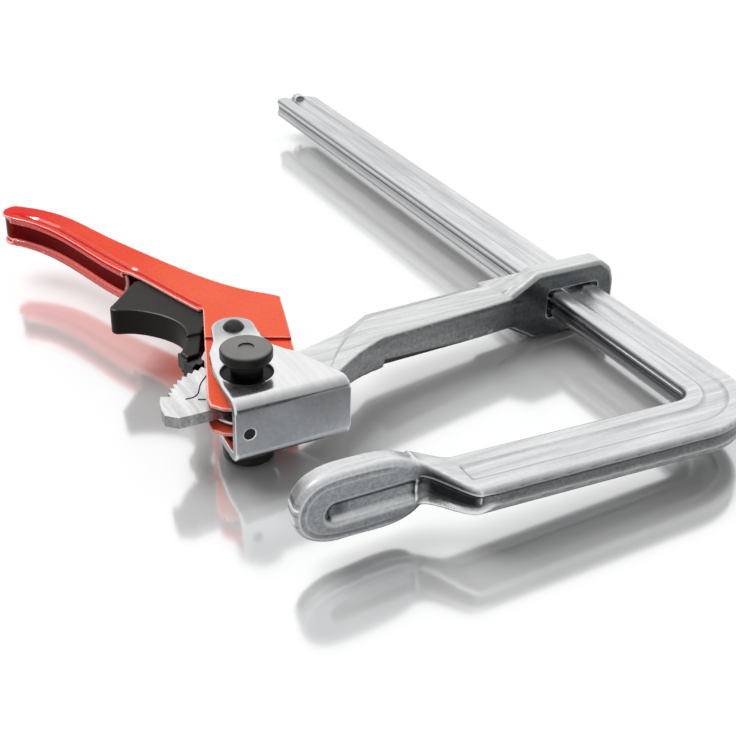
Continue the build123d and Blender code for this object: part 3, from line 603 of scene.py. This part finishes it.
def smooth_loop(corners, steps=8):
    """A closed Catmull-Rom line through points, as a fine polyline."""
    p = np.array(corners)
    t = np.arange(steps)[:, None] / steps
    runs = []
    for i in range(len(p)):
        a, b, c, d = p[i - 1], p[i], p[(i + 1) % len(p)], p[(i + 2) % len(p)]
        bend = (2 * a - 5 * b + 4 * c - d) * t ** 2 + (3 * b - a - 3 * c + d) * t ** 3
        runs.append(0.5 * (2 * b + (c - a) * t + bend))
    line = np.concatenate(runs)
    return np.vstack([line, line[:1]])


# Floor, world and light

FLOOR_HALF_SIZE = 3000
FLOOR_SLOPE = 0.0485
FLOOR_LEVEL = -20.6
FLOOR_GLOSS_SHARE = 0.55
FLOOR_ROUGHNESS = 0.13
FLOOR_REFLECTION = rgb(0.985, 0.99, 1.0)
FLOOR_CLOUD_SCALE = 30.0
FLOOR_TONES = (0.97, 0.995)
SKY_FILL = 0.42
LIGHT_PATH = (0.35, -0.47, -0.81)


def make_floor():
    """A glossy white table, sloping with the clamp, which lies on its lower head and its ring."""
    half = FLOOR_HALF_SIZE * MM
    corners = ((-half, -half), (half, -half), (half, half), (-half, half))
    points = [(x, y, FLOOR_SLOPE * x + FLOOR_LEVEL * MM) for x, y in corners]
    mesh = bpy.data.meshes.new("table")
    mesh.from_pydata(points, [], [(0, 1, 2, 3)])
    s = new_shader("table_white")
    cloud = s.noise(s.add("TexCoord").outputs["Object"], FLOOR_CLOUD_SCALE)
    white = s.grey(s.spread(cloud, 0.0, 1.0, *FLOOR_TONES))
    matt = s.add("BsdfDiffuse", {"Color": white}).outputs[0]
    gloss = s.add("BsdfGlossy", {"Color": FLOOR_REFLECTION, "Roughness": FLOOR_ROUGHNESS})
    both = s.add("MixShader", {0: FLOOR_GLOSS_SHARE, 1: matt, 2: gloss.outputs[0]})
    mesh.materials.append(s.finish(both.outputs[0]))
    table = linked("table", mesh)


def make_world():
    """White to the camera and in reflections, and a soft fill for everything else."""
    world = bpy.data.worlds.new("studio")
    bpy.context.scene.world = world
    s = Shader(world)
    path = s.add("LightPath").outputs
    seen = path["Is Camera Ray"]
    for other in ("Is Glossy Ray", "Is Transmission Ray"):
        seen = s.math("MAXIMUM", seen, path[other])
    level = s.spread(seen, 0.0, 1.0, SKY_FILL, 1.0)
    sky = s.add("Background", {"Color": rgb(1, 1, 1), "Strength": level})
    s.finish(sky.outputs[0], "OutputWorld")


def make_sun(name, energy, spread):
    """A sun from above and behind the clamp, spread over an angle in degrees."""
    data = bpy.data.lights.new(name, "SUN")
    data.energy = energy
    data.angle = math.radians(spread)
    sun = linked(name, data)
    sun.rotation_euler = Vector(LIGHT_PATH).to_track_quat("-Z", "Y").to_euler()
    return sun


def make_key():
    """The broad soft light, which leaves no reflection of its own."""
    make_sun("key", energy=2.5, spread=40).visible_glossy = False


def make_glint(name, energy, spread, only=()):
    """A light that shows only as a glint, and only on the pieces given, if any."""
    glint = make_sun(name, energy, spread)
    glint.visible_diffuse = False
    if only:
        group = bpy.data.collections.new(name + "_pieces")
        for piece in only:
            group.objects.link(piece)
        glint.light_linking.receiver_collection = group


# Forged bar with the fixed arm and pad

PAD_OUTLINE = ((-8.0, -13.2), (-16.2, -11.4), (-21.4, -7.2), (-23.2, -1.4), (-21.8, 4.8),
               (-17.4, 9.4), (-11.0, 11.3), (0.0, 11.5), (9.2, 10.7), (16.0, 8.4), (21.0, 4.0),
               (22.3, -2.5), (19.8, -9.0), (13.5, -12.6), (4.0, -13.5))
PAD_SLOT = ((-9.2, -2.2), (18.4, -2.2))
PAD_OUTSIDE_Y = -6.5
PAD_END_X = 24
RIM_LINE_INSET = 2.9
RIM_LINE_WIDTH = 0.7
RIM_LINE_DEPTH = 0.3
RIM_LINE_FADE = (14, 6)
SLOT_DEPTH = 0.9
SLOT_WALL = (3.2, 1.6)
SLOT_FADE = (26, 14)

NECK_START = (17, -8.3)
NECK_END_X = 29.5
NECK_DROP = 16.7
HOLLOW_DEPTH = 2.4
HOLLOW_HALF_HEIGHT = 5.2
HOLLOW_NARROWING = 3.0
HOLLOW_NARROWEST_X = 34
HOLLOW_SHIFT = 2.2
HOLLOW_WALL = 1.5
HOLLOW_NEAR_FACE = (4.0, 1.5)
HOLLOW_START = (17, 20)
HOLLOW_END = (35, 27)
HOLLOW_PUSH = (0.5, 0.8)


def struck_pad(points):
    """Sinks the pad's slot and the fine line inside its rim, as the forging die leaves them."""
    near = (points[:, Y] < PAD_OUTSIDE_Y) & (points[:, X] < PAD_END_X)
    face = points[near][:, [X, Z]]
    x = face[:, 0]
    away = edge_distance(face, smooth_loop(PAD_OUTLINE))
    rim = RIM_LINE_DEPTH * ridge(away, RIM_LINE_INSET, RIM_LINE_WIDTH) * ramp(x, *RIM_LINE_FADE)
    slot = SLOT_DEPTH * ramp(edge_distance(face, PAD_SLOT), *SLOT_WALL) * ramp(x, *SLOT_FADE)
    points[near, Y] += rim + slot
    return points


def hollowed_neck(points):
    """Sinks the hollow in the front of the neck, between the pad and the arm."""
    x, y, z = points.T.copy()
    start_x, start_y = NECK_START
    front = start_y - NECK_DROP * eased(ramp(x, start_x, NECK_END_X))
    near = ramp(y - front, *HOLLOW_NEAR_FACE)
    share = ramp(x, start_x, HOLLOW_NARROWEST_X)
    half = HOLLOW_HALF_HEIGHT - HOLLOW_NARROWING * share
    inside = ramp(np.abs(z + HOLLOW_SHIFT * (1 - share)), half, half - HOLLOW_WALL)
    ends = ramp(x, *HOLLOW_START) * ramp(x, *HOLLOW_END)
    sink = HOLLOW_DEPTH * eased(inside) * ends * near
    points[:, X] += HOLLOW_PUSH[X] * sink
    points[:, Y] += HOLLOW_PUSH[Y] * sink
    return points


def make_bar():
    bar = remade("clamp_rail", "forged_bar", voxel=0.42, rounds=6,
                 shape=lambda points: hollowed_neck(struck_pad(points)))
    dressed(bar, forged_bar_finish(), "frame_bar", "forged_zinc", "clamp_rail")


# Sliding arm, ratchet lines and shoe

SEAM = ((-16.0, 75.4), (-18.5, 72.9), (-20.5, 70.3), (-22.0, 67.4), (-23.2, 65.2), (-25.6, 63.6),
        (-28.0, 64.0))
NOTCH = ((-24.5, 62.0), (-22.2, 60.9))
SEAM_WIDTH = 0.55
NOTCH_WIDTH = 0.6
RATCHET_TOP = 1.95


def make_sliding_arm():
    arm = remade("sliding_arm", "forged_sliding_arm", voxel=0.4, rounds=10)
    dressed(arm, sliding_arm_finish(), "slide", "forged_arm_zinc", "sliding_arm")


def cut_line(name, corners, level, width):
    """A fine line where two stampings meet, as a slim rounded bead in the surface."""
    curve = bpy.data.curves.new(name, "CURVE")
    curve.dimensions = "3D"
    curve.bevel_depth = width * MM / 2
    curve.bevel_resolution = 2
    curve.use_fill_caps = True
    spline = curve.splines.new("NURBS")
    spline.points.add(len(corners) - 1)
    for point, (x, y) in zip(spline.points, corners):
        point.co = (x * MM, y * MM, level * MM, 1)
    spline.order_u = 3
    spline.use_endpoint_u = True
    draft = linked(name + "_line", curve)
    mesh = evaluated(draft)
    bpy.data.objects.remove(draft)
    smooth_shaded(mesh)
    return linked(name, mesh)


def make_ratchet_lines(material):
    """The seam and the notch that show dark on the toothed plate's top."""
    seam = cut_line("ratchet_seam", SEAM, RATCHET_TOP, SEAM_WIDTH)
    dressed(seam, material, "slide", "ratchet_zinc")
    notch = cut_line("ratchet_notch", NOTCH, RATCHET_TOP, NOTCH_WIDTH)
    dressed(notch, material, "slide", "ratchet_zinc")


def make_shoe(material):
    shoe = remade("pressure_shoe", "pressed_shoe", voxel=0.4, rounds=3)
    dressed(shoe, material, "shoe", "sheet_zinc", "pressure_shoe")


# Lever, its grip and the trigger

ROLLED_EDGE = ((-43.9, 223.4), (-37.1, 214.3), (-32.0, 203.2), (-28.2, 190.0), (-24.3, 175.5),
               (-18.3, 154.9), (-14.2, 146.4), (-7.3, 123.0), (-4.2, 113.3))
VALLEY_DEPTH = 0.7
VALLEY_INSET = 2.7
VALLEY_WIDTH = 1.3
VALLEY_START = (114, 117)
VALLEY_END = (226, 218)
GRIP_START = (146, 154)
GRIP_EXTRA_DEPTH = 0.25
GRIP_EXTRA_INSET = 1.2
OUTER_SKIN = (5.5, 6.0)

GRIP_WALL_EDGE = ((-36.6, 232.6), (-40.4, 232.9), (-43.4, 230.6), (-44.0, 226.6), (-43.9, 223.4),
                  (-40.4, 219.3), (-37.1, 214.3), (-34.4, 208.9), (-32.0, 203.2), (-28.2, 190.0),
                  (-24.3, 175.5), (-21.4, 165.0), (-18.7, 156.0))
WALL_STEPS = 90
WALL_SMOOTHING = 12
WALL_ROWS = 17
WALL_HALF_HEIGHT = 4.9
WALL_THICKNESS = 0.8
WALL_TIP_DEPTH = 0.3
WALL_EDGE_DEPTH = 0.9
WALL_MIDDLE_DEPTH = 2.3
WALL_BOW_CURVE = 0.8
WALL_TIP_STEPS = 16
WALL_DEEPENING_STEPS = 18


def pressed_valley(points):
    """Presses the channel that runs just inside the lever's rolled edge, in the outer skin alone."""
    y, z = points[:, Y], points[:, Z]
    grip = ramp(y, *GRIP_START)
    away = edge_distance(points, ROLLED_EDGE)
    dip = VALLEY_DEPTH + GRIP_EXTRA_DEPTH * grip
    dip = dip * ridge(away, VALLEY_INSET + GRIP_EXTRA_INSET * grip, VALLEY_WIDTH)
    fade = ramp(y, *VALLEY_START) * ramp(y, *VALLEY_END)
    outer = ramp(np.abs(z), *OUTER_SKIN)
    points[:, Z] = z - np.sign(z) * dip * fade * outer
    return points


def wall_path():
    """The line that the grip's wall follows, with the direction into the grip at each step."""
    line = np.array(GRIP_WALL_EDGE)
    fine = np.linspace(0, len(line) - 1, WALL_STEPS)
    path = np.stack([np.interp(fine, np.arange(len(line)), line[:, i]) for i in (X, Y)], 1)
    for _ in range(WALL_SMOOTHING):
        path[1:-1] = (path[:-2] + 2 * path[1:-1] + path[2:]) / 4
    run = np.gradient(path, axis=0)
    run /= np.linalg.norm(run, axis=1)[:, None]
    return path, np.stack([-run[:, Y], run[:, X]], 1)


def grip_wall():
    """The hollow side of the grip: a wall drawn in between the two rolled edges and round the tip."""
    path, inward = wall_path()
    heights = np.linspace(-1, 1, WALL_ROWS)
    points = []
    for i, (place, side) in enumerate(zip(path, inward)):
        share = min(1.0, max(0.0, (i - WALL_TIP_STEPS) / WALL_DEEPENING_STEPS))
        for h in heights:
            bow = WALL_EDGE_DEPTH + WALL_MIDDLE_DEPTH * (1 - h * h) ** WALL_BOW_CURVE
            flat = place + side * (WALL_TIP_DEPTH + share * bow)
            points.append((flat[X] * MM, flat[Y] * MM, h * WALL_HALF_HEIGHT * MM))
    n = WALL_ROWS
    faces = [(i * n + j, (i + 1) * n + j, (i + 1) * n + j + 1, i * n + j + 1)
             for i in range(len(path) - 1) for j in range(n - 1)]
    mesh = bpy.data.meshes.new("grip_wall")
    mesh.from_pydata(points, [], faces)
    smooth_shaded(mesh)
    draft = linked("grip_wall_draft", mesh)
    thick = draft.modifiers.new("sheet", "SOLIDIFY")
    thick.thickness = WALL_THICKNESS * MM
    thick.offset = 0
    solid = evaluated(draft)
    bpy.data.objects.remove(draft)
    return linked("grip_wall", solid)


def make_trigger():
    trigger = remade("release_trigger", "moulded_trigger", voxel=0.3, rounds=12)
    dressed(trigger, black_plastic(), "trigger", "black_plastic", "release_trigger")
    return trigger


def make_lever():
    """The painted lever and the wall of its grip."""
    lever = remade("lever_body", "pressed_lever", voxel=0.3, rounds=2, shape=pressed_valley)
    dressed(lever, lever_paint(), "lever", "red_paint", "lever_body")
    wall = grip_wall()
    dressed(wall, hollow_paint(), "lever", "red_paint")
    return lever, wall


# The clamp

REMADE_NODES = ("clamp_rail", "sliding_arm", "pressure_shoe", "release_trigger", "lever_body")


def repaint_small_parts(black):
    """Finishes the other CAD nodes, each by the first of these words that its name holds."""
    turned = turned_steel("disc_finish", top=rgb(0.016, 0.016, 0.016), side=rgb(0.01, 0.01, 0.01),
                          rough=0.35)
    head = turned_steel("head_finish", top=rgb(0.30, 0.29, 0.28), side=rgb(0.022, 0.022, 0.021),
                        rough=0.4)
    looks = {"pawl": black, "rivet": black, "head": head, "disc": turned,
             "ratchet": ratchet_finish(), "spring": spring_finish(), "shaft": turned, "pin": black,
             "shim": black, "leaf": leaf_finish()}
    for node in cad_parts:
        if node not in REMADE_NODES:
            repaint(node, next(looks[word] for word in looks if word in node))


def make_clamp():
    make_bar()
    make_sliding_arm()
    make_shoe(sheet_finish())
    trigger = make_trigger()
    lever, wall = make_lever()
    make_glint("edge_glint", energy=0.15, spread=30)
    make_glint("paint_glint", energy=12.0, spread=18, only=(lever, wall, trigger))
    black = blackened_finish()
    make_ratchet_lines(black)
    repaint_small_parts(black)


bpy.context.scene.view_settings.view_transform = "Standard"
make_camera()
make_world()
make_key()
make_floor()
make_clamp()
